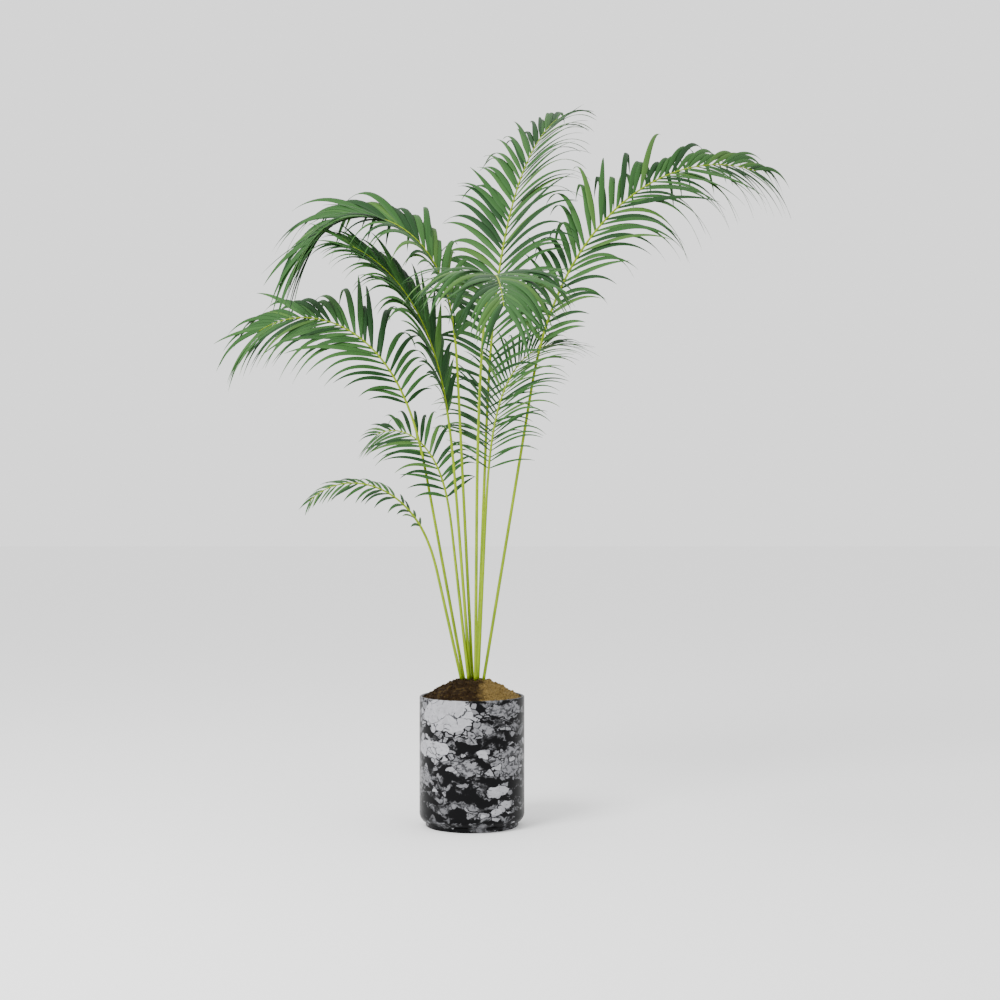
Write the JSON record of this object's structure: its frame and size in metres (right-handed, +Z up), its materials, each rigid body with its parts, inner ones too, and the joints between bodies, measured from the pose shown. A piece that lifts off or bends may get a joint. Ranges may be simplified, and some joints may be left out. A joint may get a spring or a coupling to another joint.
{
  "type": "potted feather palm",
  "caption": "Tall feather-leaved palm with slender stalks and arching fronds, growing from a soil mound in a round marble pot.",
  "frame": {"origin": "centre of the pot's flat underside", "axes": "+Z up; +X to the right and +Y away, as seen by a viewer who faces the side with the longest frond on the right"},
  "size_m": [1.8128, 1.8797, 2.1906],
  "materials": {
    "marble": "polished marble, pale grey and white patches on near black with fine veins",
    "soil": "loose crumbly potting soil, dark brown with lighter dry crumbs",
    "stalk": "smooth yellow-green stalk with fine lengthwise streaks",
    "leaf": "satin mid-green leaflets with fine lengthwise veins"
  },
  "bodies": {
    "root": {"pot": "marble", "soil": "soil", "stalk_1": "stalk", "stalk_2": "stalk", "stalk_3": "stalk", "stalk_4": "stalk", "stalk_5": "stalk", "stalk_6": "stalk", "stalk_7": "stalk", "stalk_8": "stalk", "stalk_9": "stalk", "frond_1_lower": "leaf", "frond_1_outer": "leaf", "frond_2_lower": "leaf", "frond_2_outer": "leaf", "frond_3_lower": "leaf", "frond_3_outer": "leaf", "frond_4_lower": "leaf", "frond_4_outer": "leaf", "frond_5_lower": "leaf", "frond_5_outer": "leaf", "frond_6_lower": "leaf", "frond_6_outer": "leaf", "frond_7_lower": "leaf", "frond_7_outer": "leaf", "frond_8_lower": "leaf", "frond_8_outer": "leaf", "frond_9_lower": "leaf", "frond_9_outer": "leaf"}
  },
  "joints": []
}
